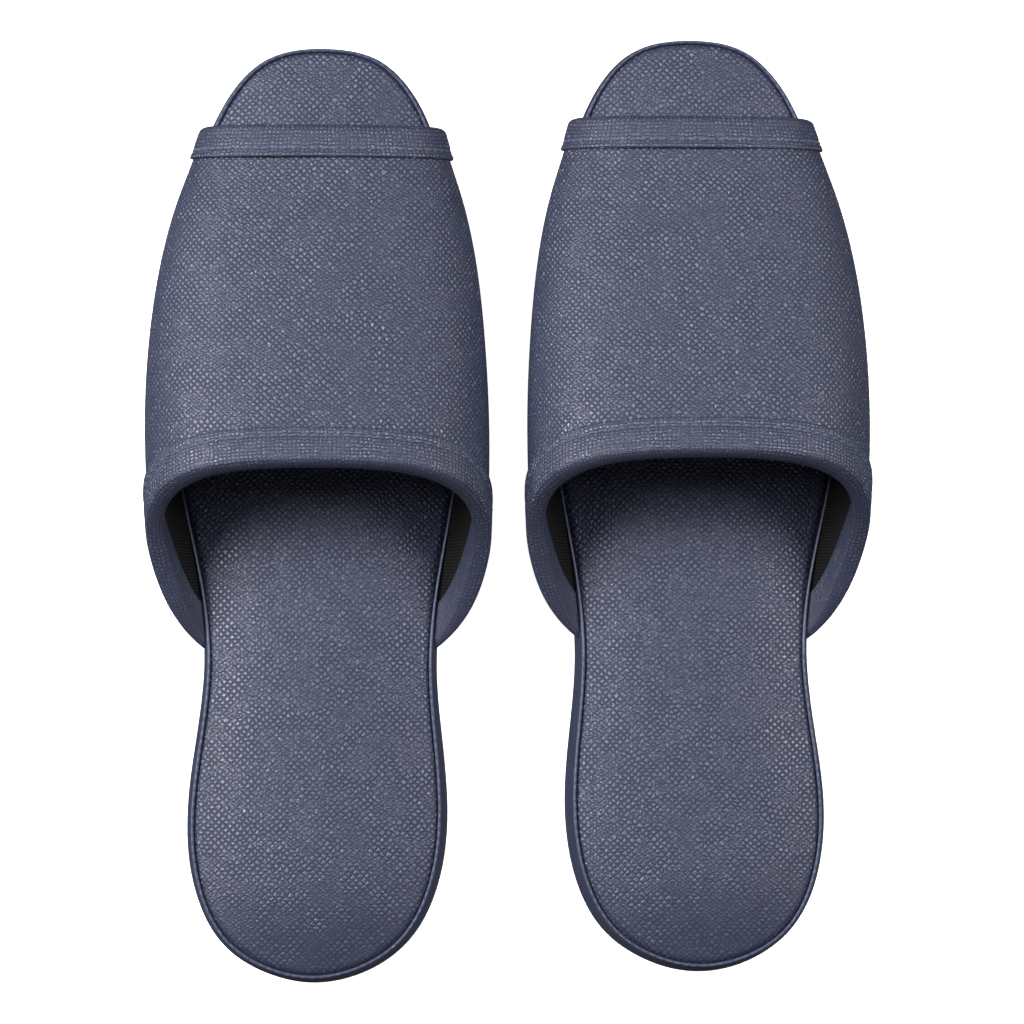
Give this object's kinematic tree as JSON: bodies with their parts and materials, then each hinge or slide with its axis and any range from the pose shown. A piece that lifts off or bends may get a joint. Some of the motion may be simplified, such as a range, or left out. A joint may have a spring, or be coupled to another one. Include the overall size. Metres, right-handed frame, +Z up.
{
  "type": "open-toed slippers",
  "caption": "Pair of backless open-toed house slippers with a padded vinyl upper, crowned cushioned insole and a wrapped foam platform sole.",
  "frame": {"origin": "centre of the pair's bounding box in plan, at floor height, under the soles", "axes": "+Y from heels to toes, +Z up, +X towards the right slipper"},
  "size_m": [0.2128, 0.2835, 0.0701],
  "materials": {
    "outsole_rubber": "matte, lightly ribbed across",
    "platform_vinyl": "satin coated vinyl, faint grain",
    "core_foam": "closed-cell foam",
    "board_fibre": "dense fibre board",
    "cushion_foam": "soft foam sheet",
    "insole_vinyl": "satin coated vinyl embossed with a fine diagonal lattice",
    "upper_vinyl": "satin coated vinyl embossed with a fine diagonal lattice",
    "interlining_foam": "thin soft foam",
    "knit_lining": "black brushed knit, fine ribs",
    "binding_vinyl": "satin coated vinyl cut on the bias, grain along the strip",
    "thread": "twisted polyester thread"
  },
  "bodies": {
    "left_slipper": {"left_outsole": "outsole_rubber", "left_platform_cover": "platform_vinyl", "left_platform_core": "core_foam", "left_insole_board": "board_fibre", "left_insole_cushion": "cushion_foam", "left_insole_cover": "insole_vinyl", "left_upper_vinyl": "upper_vinyl", "left_upper_foam": "interlining_foam", "left_upper_lining": "knit_lining", "left_collar_binding": "binding_vinyl", "left_toe_binding": "binding_vinyl", "left_collar_stitches": "thread", "left_toe_stitches": "thread", "left_rim_stitches": "thread"},
    "right_slipper": {"right_outsole": "outsole_rubber", "right_platform_cover": "platform_vinyl", "right_platform_core": "core_foam", "right_insole_board": "board_fibre", "right_insole_cushion": "cushion_foam", "right_insole_cover": "insole_vinyl", "right_upper_vinyl": "upper_vinyl", "right_upper_foam": "interlining_foam", "right_upper_lining": "knit_lining", "right_collar_binding": "binding_vinyl", "right_toe_binding": "binding_vinyl", "right_collar_stitches": "thread", "right_toe_stitches": "thread", "right_rim_stitches": "thread"}
  },
  "joints": [
    {"name": "set_apart", "type": "slide", "parent": "left_slipper", "child": "right_slipper", "axis": [1, 0, 0], "range_m": [0, 0.15]}
  ]
}
